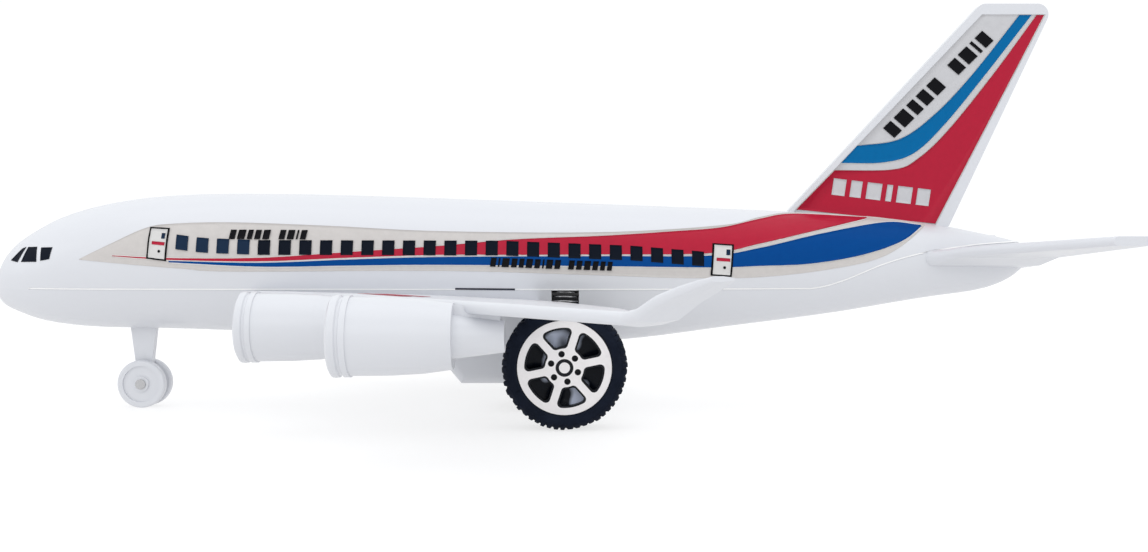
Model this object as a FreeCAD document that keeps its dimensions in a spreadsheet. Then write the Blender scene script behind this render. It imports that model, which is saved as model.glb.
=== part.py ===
import FreeCAD
import Part
import math
import os

import Sketcher
from FreeCAD import Placement, Rotation, Vector

# A friction-drive toy airliner, in millimetres.
# The origin is on the ground under the middle of the model.
# +X points to the nose, +Y to the left wing and +Z up.
# Two thin fuselage shells meet at a seam and clamp the wings, the tail and a small geared
# flywheel motor, which the main wheels drive through their axle.

doc = FreeCAD.newDocument("toy_airliner")
dims = doc.addObject("Spreadsheet::Sheet", "dims")

DIMENSIONS = (
    ("shell_wall", 1.6, "wall of the fuselage shells and of the belly pod"),
    ("section_ratio", 0.955, "half-width over half-height of every fuselage section"),
    ("seam_height", 35.8, "height of the seam along the cabin"),
    ("seam_bend", -81.5, "where the seam starts to climb towards the tail"),
    ("seam_tail_height", 49.6, "height of the seam at the tail end"),
    ("tail_end", -147.8, "rearmost point of the fuselage"),
    ("pod_rear", -19.1, "rear wall of the belly pod"),
    ("pod_toe", 20.0, "front end of the pod's floor"),
    ("pod_front", 31.0, "front of the pod where it meets the fuselage"),
    ("pod_shoulder", 22.0, "height of the pod's front shoulder"),
    ("pod_top", 33.7, "top of the pod, inside the fuselage"),
    ("pod_floor", 8.75, "underside of the pod"),
    ("pod_half_width", 17.0, "half-width of the pod"),
    ("pod_corner", 3.0, "rounding of the pod's lower edges"),
    ("axle_along", -10.0, "position of the main axle along the fuselage"),
    ("wheel_radius", 16.7, "outer radius of a main wheel, and height of its axle"),
    ("axle_radius", 1.25, "radius of the main axle"),
    ("axle_slot_radius", 3.9, "half-width of the axle slots in the lower shell"),
    ("track_inner", 33.0, "inner face of a main wheel from the centreline"),
    ("track_outer", 45.0, "outer face of a main wheel from the centreline"),
    ("rim_radius", 12.6, "outer radius of a rim, and inner radius of its tyre"),
    ("rim_wall", 1.2, "wall of the rim's barrel"),
    ("rim_face_thickness", 2.0, "thickness of the spoked face"),
    ("rim_lip", 0.6, "step between the rim's edge and the tyre's side"),
    ("window_inner", 5.6, "inner radius of the openings between spokes"),
    ("window_outer", 10.1, "outer radius of the openings between spokes"),
    ("window_corner", 0.9, "rounding of the openings' corners"),
    ("spoke_width", 3.0, "width of a spoke"),
    ("spoke_phase", 48.0, "angle of the first spoke"),
    ("lug_circle", 3.7, "radius of the circle of blind lug holes"),
    ("lug_radius", 0.7, "radius of a lug hole"),
    ("lug_depth", 0.7, "depth of a lug hole"),
    ("hub_radius", 3.0, "radius of the wheel hub behind the face"),
    ("tyre_shoulder", 1.3, "bevel of the tyre's shoulders"),
    ("running_gap", 0.05, "radial clearance of every running fit"),
    ("motor_wall", 0.9, "wall of the motor case"),
    ("motor_rear", -17.3, "rear face of the motor case"),
    ("motor_toe", 8.0, "front end of the motor's floor"),
    ("motor_chin_along", 20.6, "top of the motor's sloping front"),
    ("motor_chin_height", 22.0, "height of that point"),
    ("motor_front", 22.6, "front face of the motor case"),
    ("motor_brow_height", 24.2, "lower end of the front face"),
    ("motor_floor", 9.1, "underside of the motor case"),
    ("motor_top", 38.9, "top of the motor case"),
    ("motor_half_width", 11.0, "half-width of the motor case"),
    ("motor_post_radius", 1.7, "radius of the screw posts in the motor case"),
    ("motor_screw_radius", 0.8, "radius of a motor screw's shank"),
    ("gear_module", 0.5, "module of every gear"),
    ("axle_teeth", 24, "teeth of the axle gear"),
    ("wheel_teeth", 28, "teeth of each idler's large gear"),
    ("pinion_teeth", 12, "teeth of every pinion"),
    ("addendum", 0.8, "tooth height above the pitch circle, in modules"),
    ("dedendum", 1.05, "tooth depth below the pitch circle, in modules"),
    ("backlash", 0.1, "how much each tooth is thinned at the pitch circle"),
    ("pressure_angle", 20.0, "pressure angle of the teeth"),
    ("first_angle", 60.0, "direction from the main axle to the first idler"),
    ("second_angle", 35.0, "direction from the first idler to the second"),
    ("third_angle", -10.0, "direction from the second idler to the flywheel"),
    ("pin_radius", 0.8, "radius of the idler pins"),
    ("arbor_radius", 1.0, "radius of the flywheel's arbor"),
    ("flywheel_radius", 8.4, "radius of the flywheel"),
    ("flywheel_inner", 2.6, "inner face of the flywheel from the centreline"),
    ("flywheel_outer", 9.4, "outer face of the flywheel from the centreline"),
    ("flywheel_rim", 1.6, "width of the flywheel's rim outside the turned groove"),
    ("groove_depth", 1.0, "depth of that groove"),
    ("groove_inner", 3.0, "inner radius of that groove"),
    ("screw_radius", 1.15, "radius of a screw's shank"),
    ("screw_head_radius", 2.2, "radius of a screw's head"),
    ("screw_head_height", 1.5, "height of a screw's head"),
    ("post_radius", 3.4, "radius of a screw post"),
    ("screw_bite", 8.0, "how far a shell screw reaches into the upper post"),
    ("front_post", 84.0, "position of the front screw post"),
    ("front_post_floor", 23.9, "its lower end, inside the lower shell's wall"),
    ("front_post_roof", 63.0, "its upper end, inside the upper shell's wall"),
    ("middle_post", 38.0, "position of the middle screw post"),
    ("middle_post_floor", 22.5, "its lower end"),
    ("middle_post_roof", 61.9, "its upper end"),
    ("rear_post", -62.0, "position of the rear screw post"),
    ("rear_post_floor", 25.9, "its lower end"),
    ("rear_post_roof", 58.4, "its upper end"),
    ("wing_thinning", 0.45, "thickness of a wing's trailing edge, as a share of its thickness"),
    ("tailplane_thinning", 1.0, "the same share for the tailplane"),
    ("fin_thickness", 3.0, "thickness of the tail fin"),
    ("fin_root_front", -76.0, "front end of the fin's root"),
    ("fin_root_front_height", 58.3, "height of that point"),
    ("fin_root_rear", -124.4, "rear end of the fin's root"),
    ("fin_root_rear_height", 54.3, "height of that point"),
    ("fin_tip_front", -133.2, "front corner of the fin's tip"),
    ("fin_tip_rear", -154.9, "rear corner of the fin's tip"),
    ("fin_tip_height", 120.0, "height of the fin's tip"),
    ("fin_tab_depth", 4.5, "depth of the tab that plugs into the upper shell"),
    ("fin_tab_margin", 6.0, "how far the tab stays inside the root's ends"),
    ("fin_corner", 3.2, "rounding of the fin's tip corners"),
    ("nose_along", 116.5, "position of the nose axle"),
    ("nose_wheel_radius", 7.1, "radius of a nose wheel, and height of its axle"),
    ("nose_wheel_inner", 1.5, "inner face of a nose wheel from the centreline"),
    ("nose_wheel_outer", 4.0, "outer face of a nose wheel from the centreline"),
    ("nose_wheel_round", 0.6, "rounding of a nose wheel's edges"),
    ("nose_dish_radius", 5.4, "radius of the dish in a nose wheel's outer face"),
    ("nose_dish_depth", 0.5, "depth of that dish"),
    ("nose_hub_radius", 2.3, "radius of a nose wheel's hub"),
    ("nose_pin_radius", 0.8, "radius of the nose axle pin"),
    ("nose_pin_head", 1.5, "radius of the pin's flattened heads"),
    ("leg_half_thickness", 1.2, "half-thickness of the nose leg"),
    ("leg_top", 26.7, "top of the nose leg, inside the lower shell"),
    ("leg_half_top", 4.1, "half-width of the leg at the top"),
    ("leg_half_foot", 1.7, "half-width of the leg at the axle"),
    ("engine_radius", 9.2, "outer radius of an intake lip"),
    ("engine_length", 38.4, "length of an engine, ring included"),
    ("engine_wall", 1.2, "wall of a nacelle"),
    ("ring_length", 4.4, "length of the intake ring"),
    ("inner_engine_front", 72.6, "lip of the inner engines"),
    ("inner_engine_span", 52.0, "distance of the inner engines from the centreline"),
    ("inner_engine_height", 28.1, "height of the inner engines' centrelines"),
    ("outer_engine_front", 41.2, "lip of the outer engines"),
    ("outer_engine_span", 92.0, "distance of the outer engines from the centreline"),
    ("outer_engine_height", 29.3, "height of the outer engines' centrelines"),
    ("cowl_length", 27.0, "length of an engine's cowl, from the lip to its rear step"),
    ("core_front_radius", 5.0, "radius of the nozzle where it leaves the cowl"),
    ("core_rear_radius", 3.6, "radius of the nozzle's end"),
    ("pylon_height", 7.0, "top of the pylon above the engine's centreline, inside the wing"),
    ("pylon_thickness", 2.4, "thickness of the pylon"),
)

# Fuselage stations from nose to tail: position, top and bottom.
STATIONS = (
    (159.2, 37.1, 32.9),
    (158.6, 40.3, 31.9),
    (156.7, 44.9, 30.1),
    (153.2, 49.0, 28.5),
    (148.0, 52.6, 26.6),
    (141.5, 56.1, 25.2),
    (132.4, 59.3, 24.2),
    (114.4, 62.6, 23.7),
    (87.5, 63.8, 22.9),
    (33.6, 62.7, 21.3),
    (-25.0, 60.6, 20.1),
    (-56.4, 59.4, 23.9),
    (-92.4, 57.7, 28.7),
    (-123.4, 54.2, 33.7),
    (-137.7, 51.3, 36.4),
    (-145.2, 49.3, 40.5),
    (-147.8, 47.7, 43.4),
)

# Ribs from root to tip: distance from the centreline, leading and trailing edge along the model,
# heights of the middle plane at those two edges, and thickness.
RIB_WORDS = ("across", "front", "rear", "front_height", "rear_height", "thickness")
RIBS = {
    "wing": (
        (14.0, 87.0, -3.0, 34.1, 32.1, 3.2),
        (35.0, 58.6, -1.0, 34.6, 33.2, 3.1),
        (52.0, 43.3, -5.4, 35.1, 34.1, 3.0),
        (72.0, 27.6, -11.2, 35.4, 34.9, 2.9),
        (105.0, 3.1, -22.0, 36.0, 35.7, 2.8),
        (138.0, -20.6, -28.6, 36.6, 36.1, 2.6),
        (142.0, -23.0, -31.4, 37.6, 37.3, 2.4),
        (145.5, -26.3, -34.7, 40.3, 40.4, 2.1),
        (148.5, -30.0, -37.8, 42.2, 42.6, 1.8),
        (150.3, -33.0, -39.2, 43.4, 43.7, 1.4),
        (152.0, -35.8, -39.8, 44.4, 44.4, 1.0),
    ),
    "tailplane": (
        (1.8, -109.0, -144.5, 43.9, 43.9, 4.8),
        (12.0, -115.2, -147.4, 44.9, 44.9, 4.4),
        (20.0, -121.6, -149.5, 46.7, 46.7, 3.1),
        (54.5, -149.2, -158.2, 50.1, 50.1, 2.4),
    ),
}


def fill_sheet():
    """Write every driving dimension into the sheet, with its alias and its meaning."""
    rows = list(DIMENSIONS)
    for number, (along, top, bottom) in enumerate(STATIONS, 1):
        rows.append(("station_%d_along" % number, along, "fuselage station"))
        rows.append(("station_%d_top" % number, top, "top of that station"))
        rows.append(("station_%d_bottom" % number, bottom, "bottom of that station"))
    for kind, ribs in RIBS.items():
        for number, sizes in enumerate(ribs, 1):
            for word, size in zip(RIB_WORDS, sizes):
                rows.append(("%s_rib_%d_%s" % (kind, number, word), size, kind + " rib"))
    for row, (alias, number, meaning) in enumerate(rows, 1):
        dims.set("A%d" % row, meaning)
        dims.set("B%d" % row, str(number))
        dims.setAlias("B%d" % row, alias)
    doc.recompute()


fill_sheet()


def value(expression):
    """Evaluate an expression of the sheet's cells."""
    return float(dims.evalExpression(str(expression)))


# --- building blocks ---------------------------------------------------------------------------

def bind(item, **expressions):
    """Bind properties to expressions; a double underscore stands for the dot in a name."""
    for key, expression in expressions.items():
        item.setExpression(key.replace("__", "."), str(expression))
    return item


def place(item, along="0", across="0", up="0"):
    """Bind an object's position."""
    return bind(item, Placement__Base__x=along, Placement__Base__y=across, Placement__Base__z=up)


def box(name, low, high):
    """A block between two corners, given as expressions."""
    item = doc.addObject("Part::Box", name)
    sizes = ["(%s) - (%s)" % (far, near) for near, far in zip(low, high)]
    bind(item, Length=sizes[0], Width=sizes[1], Height=sizes[2])
    return place(item, *low)


def rod_across(name, radius, along, up, start, end):
    """A cylinder along +Y."""
    item = doc.addObject("Part::Cylinder", name)
    item.Placement.Rotation = Rotation(Vector(1, 0, 0), -90)
    bind(item, Radius=radius, Height="(%s) - (%s)" % (end, start))
    return place(item, along, start, up)


def rod_up(name, radius, along, start, end):
    """A cylinder along +Z on the centreline."""
    item = doc.addObject("Part::Cylinder", name)
    item.Placement.Rotation = Rotation(Vector(0, 0, 1), 30)
    bind(item, Radius=radius, Height="(%s) - (%s)" % (end, start))
    return place(item, along, "0", start)


def cut(name, base, tool):
    """The base with the tool taken away."""
    item = doc.addObject("Part::Cut", name)
    item.Base = base
    item.Tool = tool
    item.Refine = False
    return item


def cut_each(name, base, tools):
    """The base with several tools taken away, one after the other."""
    for number, tool in enumerate(tools, 1):
        base = cut("%s_%d" % (name, number), base, tool)
    return base


def fuse(name, shapes):
    """Several shapes made one."""
    item = doc.addObject("Part::MultiFuse", name)
    item.Shapes = shapes
    item.Refine = False
    return item


def common(name, shapes):
    """What several shapes share."""
    item = doc.addObject("Part::MultiCommon", name)
    item.Shapes = shapes
    item.Refine = False
    return item


def mirrored(name, source):
    """The copy of a left-hand piece on the right."""
    item = doc.addObject("Part::Mirroring", name)
    item.Source = source
    item.Normal = Vector(0, 1, 0)
    return item


def profile(name, corners):
    """A closed outline of straight lines in the XZ plane, its corners given as expressions."""
    sketch = doc.addObject("Sketcher::SketchObject", name)
    sketch.Placement.Rotation = Rotation(Vector(1, 0, 0), 90)
    points = [Vector(value(along), value(up), 0) for along, up in corners]
    count = len(points)
    for index in range(count):
        sketch.addGeometry(Part.LineSegment(points[index], points[(index + 1) % count]))
    for index in range(count):
        sketch.addConstraint(Sketcher.Constraint("Coincident", index, 2, (index + 1) % count, 1))
    for index, (along, up) in enumerate(corners):
        for kind, expression, place_value in (
                ("DistanceX", along, points[index].x), ("DistanceY", up, points[index].y)):
            made = sketch.addConstraint(Sketcher.Constraint(kind, -1, 1, index, 1, place_value))
            sketch.setExpression("Constraints[%d]" % made, expression)
    return sketch


def inset(name, sketch, distance):
    """An outline moved inwards by a distance, its corners kept sharp."""
    item = doc.addObject("Part::Offset2D", name)
    item.Source = sketch
    item.Join = 2
    return bind(item, Value="-(%s)" % distance)


def prism(name, outline, start, end):
    """An outline in the XZ plane drawn out across the model."""
    item = doc.addObject("Part::Extrusion", name)
    item.Base = outline
    item.DirMode = "Custom"
    item.Dir = Vector(0, 1, 0)
    item.Solid = True
    return bind(item, LengthFwd=end, LengthRev="-(%s)" % start)


def rounded(name, base, radius, chosen, kind="Part::Fillet"):
    """Round (or bevel) the edges of a shape that a test picks."""
    doc.recompute()
    item = doc.addObject(kind, name)
    item.Base = base
    size = value(radius)
    edges = [(number, size, size) for number, edge in enumerate(base.Shape.Edges, 1) if chosen(edge)]
    item.Edges = edges
    return item


def turned(name, corners):
    """A body of revolution about its own X axis, from (along, radius) corners."""
    body = doc.addObject("PartDesign::Body", name)
    sketch = body.newObject("Sketcher::SketchObject", name + "_profile")
    plane = [item for item in body.Origin.OriginFeatures if item.Role == "XZ_Plane"][0]
    sketch.AttachmentSupport = [(plane, "")]
    sketch.MapMode = "FlatFace"
    points = [Vector(value(along), value(radius), 0) for along, radius in corners]
    count = len(points)
    for index in range(count):
        sketch.addGeometry(Part.LineSegment(points[index], points[(index + 1) % count]))
    for index in range(count):
        sketch.addConstraint(Sketcher.Constraint("Coincident", index, 2, (index + 1) % count, 1))
    for index, (along, radius) in enumerate(corners):
        for kind, expression, size, axis in (
                ("DistanceX", along, points[index].x, -2), ("DistanceY", radius, points[index].y, -1)):
            if abs(size) < 1e-9:
                sketch.addConstraint(Sketcher.Constraint("PointOnObject", index, 1, axis))
                continue
            made = sketch.addConstraint(Sketcher.Constraint(kind, -1, 1, index, 1, size))
            sketch.setExpression("Constraints[%d]" % made, expression)
    revolution = body.newObject("PartDesign::Revolution", name + "_turn")
    revolution.Profile = sketch
    revolution.ReferenceAxis = (sketch, ["H_Axis"])
    revolution.Angle = 360
    return body


# --- fuselage ----------------------------------------------------------------------------------

def fuselage_loft(name, first, last, wall):
    """Loft the stations from first to last, each section drawn in by a wall."""
    sections = []
    for number in range(first, last + 1):
        station = "dims.station_%d_" % number
        half = "(%stop - %sbottom) / 2" % (station, station)
        ring = doc.addObject("Part::Ellipse", "%s_ring_%d" % (name, number))
        ring.Placement.Rotation = Rotation(Vector(0, 1, 0), -90)
        bind(ring, MajorRadius="%s - %s" % (half, wall))
        bind(ring, MinorRadius="(%s) * dims.section_ratio - %s" % (half, wall))
        place(ring, station + "along", "0", "(%stop + %sbottom) / 2" % (station, station))
        sections.append(ring)
    loft = doc.addObject("Part::Loft", name)
    loft.Sections = sections
    loft.Solid = True
    return loft


# How the seam climbs: position along the fuselage and share of the whole climb.
SEAM_CLIMB = ((-90.0, 0.16), (-102.3, 0.52), (-114.5, 0.75), (-130.0, 0.91))


def above_seam():
    """Everything above the seam, which climbs in an S towards the tail."""
    level = value("dims.seam_height")
    bend = value("dims.seam_bend")
    end = value("dims.tail_end")
    tail_level = value("dims.seam_tail_height")
    reach = 200.0
    climb = Part.BSplineCurve()
    climb.interpolate(
        [Vector(bend, 0, level)]
        + [Vector(along, 0, level + share * (tail_level - level)) for along, share in SEAM_CLIMB]
        + [Vector(end - 2, 0, tail_level)],
        InitialTangent=Vector(-1, 0, 0), FinalTangent=Vector(-1, 0, 0.05))
    corners = [Vector(end - 2, 0, tail_level), Vector(-reach, 0, tail_level),
               Vector(-reach, 0, reach), Vector(reach, 0, reach), Vector(reach, 0, level),
               Vector(bend, 0, level)]
    edges = [climb.toShape()]
    for start, finish in zip(corners, corners[1:]):
        edges.append(Part.LineSegment(start, finish).toShape())
    face = Part.Face(Part.Wire(edges))
    item = doc.addObject("Part::Feature", "above_seam")
    item.Shape = face.extrude(Vector(0, reach, 0))
    item.Placement = Placement(Vector(0, -reach / 2, 0), Rotation())
    return item


def pod_edges(edge):
    """The pod's edges in its side faces, all but the hidden ones along the top."""
    middle = edge.BoundBox.Center
    side = abs(abs(middle.y) - value("dims.pod_half_width")) < 0.01
    return side and middle.z < value("dims.pod_top") - 0.1


hull = fuselage_loft("hull", 1, len(STATIONS), "0")
hull_core = fuselage_loft("hull_core", 3, len(STATIONS) - 2, "dims.shell_wall")
upper_space = above_seam()

pod_outline = profile("pod_outline", (
    ("dims.pod_rear", "dims.pod_floor"),
    ("dims.pod_toe", "dims.pod_floor"),
    ("dims.pod_front", "dims.pod_shoulder"),
    ("dims.pod_front", "dims.pod_top"),
    ("dims.pod_rear", "dims.pod_top")))
pod_block = prism("pod_block", pod_outline, "-dims.pod_half_width", "dims.pod_half_width")
pod_solid = rounded("pod_solid", pod_block, "dims.pod_corner", pod_edges)
pod_room = prism("pod_room", inset("pod_inset", pod_outline, "dims.shell_wall"),
                 "-dims.pod_half_width + dims.shell_wall", "dims.pod_half_width - dims.shell_wall")
pod_well = box("pod_well",
               ("dims.pod_rear + dims.shell_wall", "-dims.pod_half_width + dims.shell_wall",
                "dims.pod_top - 4"),
               ("dims.pod_front - dims.shell_wall", "dims.pod_half_width - dims.shell_wall",
                "dims.pod_top + 4"))

motor_outline = profile("motor_outline", (
    ("dims.motor_rear", "dims.motor_floor"),
    ("dims.motor_toe", "dims.motor_floor"),
    ("dims.motor_chin_along", "dims.motor_chin_height"),
    ("dims.motor_front", "dims.motor_brow_height"),
    ("dims.motor_front", "dims.motor_top"),
    ("dims.motor_rear", "dims.motor_top")))
motor_block = prism("motor_block", motor_outline, "-dims.motor_half_width", "dims.motor_half_width")
motor_window = box("motor_window",
                   ("dims.motor_rear - 0.2", "-dims.motor_half_width - 0.2", "dims.pod_floor - 1"),
                   ("dims.motor_toe + 2", "dims.motor_half_width + 0.2", "dims.pod_floor + 8"))

POSTS = ("front", "middle", "rear")
solid_lower = fuse("solid_lower", [hull, pod_solid])
room = fuse("room", [hull_core, pod_room, pod_well])
both_shells = cut("both_shells", solid_lower, room)


# --- wings, winglets and tailplane -------------------------------------------------------------

def rib(across, front, rear, front_height, rear_height, thick, edge):
    """A plate section: round leading edge, flat middle and a trailing edge of its own thickness."""
    crest = (front + rear) / 2
    crest_height = (front_height + rear_height) / 2
    nose = front - thick / 2
    over = [Vector(rear, across, rear_height - edge / 2), Vector(rear, across, rear_height + edge / 2),
            Vector(crest, across, crest_height + thick / 2), Vector(nose, across, front_height + thick / 2)]
    under = [Vector(nose, across, front_height - thick / 2),
             Vector(crest, across, crest_height - thick / 2), over[0]]
    edges = [Part.LineSegment(start, end).toShape() for start, end in zip(over, over[1:])]
    edges.append(Part.Arc(over[-1], Vector(front, across, front_height), under[0]).toShape())
    edges += [Part.LineSegment(start, end).toShape() for start, end in zip(under, under[1:])]
    return Part.Wire(edges)


def plate(kind, thinning):
    """A plate with straight rulings from rib to rib; its trailing edge is thinner by a factor."""
    wires = []
    for number in range(1, len(RIBS[kind]) + 1):
        sizes = [value("dims.%s_rib_%d_%s" % (kind, number, word)) for word in RIB_WORDS]
        wires.append(rib(*sizes, thinning * sizes[-1]))
    item = doc.addObject("Part::Feature", "left_" + kind)
    item.Shape = Part.makeLoft(wires, True, True)
    return item


left_wing = plate("wing", value("dims.wing_thinning"))
right_wing = mirrored("right_wing", left_wing)
left_tailplane = plate("tailplane", value("dims.tailplane_thinning"))
right_tailplane = mirrored("right_tailplane", left_tailplane)


# --- tail fin ----------------------------------------------------------------------------------

def fin_tip_corners(edge):
    """The fin's two short corners at the tip."""
    level = abs(edge.BoundBox.Center.z - value("dims.fin_tip_height")) < 0.1
    return level and edge.BoundBox.YLength > 1 and edge.BoundBox.XLength < 0.1


fin_outline = profile("fin_outline", (
    ("dims.fin_root_front", "dims.fin_root_front_height"),
    ("dims.fin_tip_front", "dims.fin_tip_height"),
    ("dims.fin_tip_rear", "dims.fin_tip_height"),
    ("dims.fin_root_rear", "dims.fin_root_rear_height"),
    ("dims.fin_root_rear + dims.fin_tab_margin", "dims.fin_root_rear_height - dims.fin_tab_depth"),
    ("dims.fin_root_front - dims.fin_tab_margin", "dims.fin_root_rear_height - dims.fin_tab_depth")))
fin_block = prism("fin_block", fin_outline, "-dims.fin_thickness / 2", "dims.fin_thickness / 2")
fin = rounded("fin", fin_block, "dims.fin_corner", fin_tip_corners)


# --- nose gear ---------------------------------------------------------------------------------

leg_outline = profile("leg_outline", (
    ("dims.nose_along - dims.leg_half_top", "dims.leg_top"),
    ("dims.nose_along + dims.leg_half_top", "dims.leg_top"),
    ("dims.nose_along + dims.leg_half_foot", "dims.nose_wheel_radius"),
    ("dims.nose_along - dims.leg_half_foot", "dims.nose_wheel_radius")))
leg_blade = prism("leg_blade", leg_outline, "-dims.leg_half_thickness", "dims.leg_half_thickness")
leg_foot = rod_across("leg_foot", "dims.leg_half_foot", "dims.nose_along", "dims.nose_wheel_radius",
                      "-dims.leg_half_thickness", "dims.leg_half_thickness")
leg_bore = rod_across("leg_bore", "dims.nose_pin_radius + dims.running_gap", "dims.nose_along",
                      "dims.nose_wheel_radius", "-dims.nose_wheel_outer", "dims.nose_wheel_outer")
nose_leg = cut("nose_leg", fuse("leg_solid", [leg_blade, leg_foot]), leg_bore)

nose_pin = fuse("nose_axle_pin", [
    rod_across("pin_shank", "dims.nose_pin_radius", "dims.nose_along", "dims.nose_wheel_radius",
               "-dims.nose_wheel_outer - 0.5", "dims.nose_wheel_outer + 0.5"),
    rod_across("pin_head_left", "dims.nose_pin_head", "dims.nose_along", "dims.nose_wheel_radius",
               "dims.nose_wheel_outer", "dims.nose_wheel_outer + 0.5"),
    rod_across("pin_head_right", "dims.nose_pin_head", "dims.nose_along", "dims.nose_wheel_radius",
               "-dims.nose_wheel_outer - 0.5", "-dims.nose_wheel_outer")])


def nose_wheel_edges(edge):
    """The outer edges of a nose wheel's rim."""
    return edge.BoundBox.XLength > 2 * value("dims.nose_wheel_radius") - 0.1 and edge.BoundBox.YLength < 0.1


def nose_wheel(name):
    """A solid disc with rounded edges, a dished outer face and a hole for the pin."""
    disc = rod_across(name + "_disc", "dims.nose_wheel_radius", "dims.nose_along",
                      "dims.nose_wheel_radius", "dims.nose_wheel_inner", "dims.nose_wheel_outer")
    smooth = rounded(name + "_smooth", disc, "dims.nose_wheel_round", nose_wheel_edges)
    dish = rod_across(name + "_dish", "dims.nose_dish_radius", "dims.nose_along",
                      "dims.nose_wheel_radius", "dims.nose_wheel_outer - dims.nose_dish_depth",
                      "dims.nose_wheel_outer + 1")
    hub = rod_across(name + "_hub", "dims.nose_hub_radius", "dims.nose_along",
                     "dims.nose_wheel_radius", "dims.nose_wheel_outer - 2 * dims.nose_dish_depth",
                     "dims.nose_wheel_outer")
    bore = rod_across(name + "_bore", "dims.nose_pin_radius", "dims.nose_along",
                      "dims.nose_wheel_radius", "0", "10")
    dished = fuse(name + "_dished", [cut(name + "_hollow", smooth, dish), hub])
    return cut(name, dished, bore)


left_nose_wheel = nose_wheel("left_nose_wheel")
right_nose_wheel = mirrored("right_nose_wheel", left_nose_wheel)


# --- engines -----------------------------------------------------------------------------------

def engine(name):
    """A nacelle with its nozzle and pylon, notched round the wing, and its intake ring."""
    front = "dims.%s_engine_front" % name
    span = "dims.%s_engine_span" % name
    height = "dims.%s_engine_height" % name
    pylon_front = "%s - dims.cowl_length + 1" % front
    pylon_rear = "%s - dims.engine_length + 1" % front
    pylon_top = "%s + dims.pylon_height" % height
    outside = (
        ("-dims.ring_length", "dims.engine_radius - 0.4"),
        ("-dims.ring_length - 9", "dims.engine_radius - 0.5"),
        ("-dims.ring_length - 16", "dims.engine_radius - 0.9"),
        ("-dims.cowl_length", "dims.engine_radius - 1.8"),
        ("-dims.cowl_length", "dims.core_front_radius"),
        ("-dims.engine_length", "dims.core_rear_radius"))
    inside = []
    for along, radius in outside:
        step = " + dims.engine_wall" if along == "-dims.cowl_length" else ""
        inside.append((along + step, radius + " - dims.engine_wall"))
    nacelle = turned(name + "_nacelle", outside + tuple(reversed(inside)))
    place(nacelle, front, span, height)
    pylon_outline = profile(name + "_pylon_outline", (
        (pylon_front, "%s + dims.core_front_radius - 0.6" % height),
        (pylon_front, pylon_top),
        (pylon_rear, pylon_top),
        (pylon_rear, "%s + dims.core_rear_radius - 0.6" % height)))
    pylon = prism(name + "_pylon", pylon_outline, "%s - dims.pylon_thickness / 2" % span,
                  "%s + dims.pylon_thickness / 2" % span)
    hung = fuse(name + "_nacelle_hung", [nacelle, pylon])
    ring = turned(name + "_ring", (
        ("0", "dims.engine_radius - 0.9"),
        ("-0.5", "dims.engine_radius - 0.1"),
        ("-1.2", "dims.engine_radius"),
        ("-2.0", "dims.engine_radius - 0.1"),
        ("-2.3", "dims.engine_radius - 0.5"),
        ("-2.8", "dims.engine_radius - 0.5"),
        ("-3.1", "dims.engine_radius - 0.1"),
        ("-dims.ring_length", "dims.engine_radius - 0.1"),
        ("-dims.ring_length", "dims.engine_radius - 0.4 - dims.engine_wall"),
        ("-dims.ring_length - 2.6", "dims.engine_radius - 0.5 - dims.engine_wall"),
        ("-dims.ring_length - 2.6", "0"),
        ("-dims.ring_length + 1.2", "0"),
        ("-dims.ring_length + 0.2", "1.5"),
        ("-dims.ring_length - 1.4", "2.4"),
        ("-dims.ring_length - 1.4", "dims.engine_radius - 2.2"),
        ("-0.6", "dims.engine_radius - 1.7")))
    place(ring, front, span, height)
    return cut(name + "_nacelle_fitted", hung, left_wing), ring


inner_nacelle, inner_ring = engine("inner")
outer_nacelle, outer_ring = engine("outer")


# --- main wheels -------------------------------------------------------------------------------

def along_axle(edge):
    """Straight edges that run across the model."""
    return edge.BoundBox.YLength > 1 and edge.BoundBox.XLength < 0.01 and edge.BoundBox.ZLength < 0.01


def axle_rod(name, radius, start, end):
    """A cylinder on the main axle's line."""
    return rod_across(name, radius, "dims.axle_along", "dims.wheel_radius", start, end)


def spoke_bar(number):
    """A bar right across the wheel, as wide as a spoke; three of them make six spokes."""
    bar = doc.addObject("Part::Box", "spoke_bar_%d" % number)
    bind(bar, Length="2 * dims.rim_radius", Width="2 * dims.track_outer", Height="dims.spoke_width")
    corner = Vector(-value("dims.rim_radius"), 0, -value("dims.spoke_width / 2"))
    turn = value("dims.spoke_phase") + 60 * number
    centre = Placement(Vector(value("dims.axle_along"), 0, value("dims.wheel_radius")),
                       Rotation(Vector(0, 1, 0), -turn))
    bar.Placement = centre.multiply(Placement(corner, Rotation()))
    return bar


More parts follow.
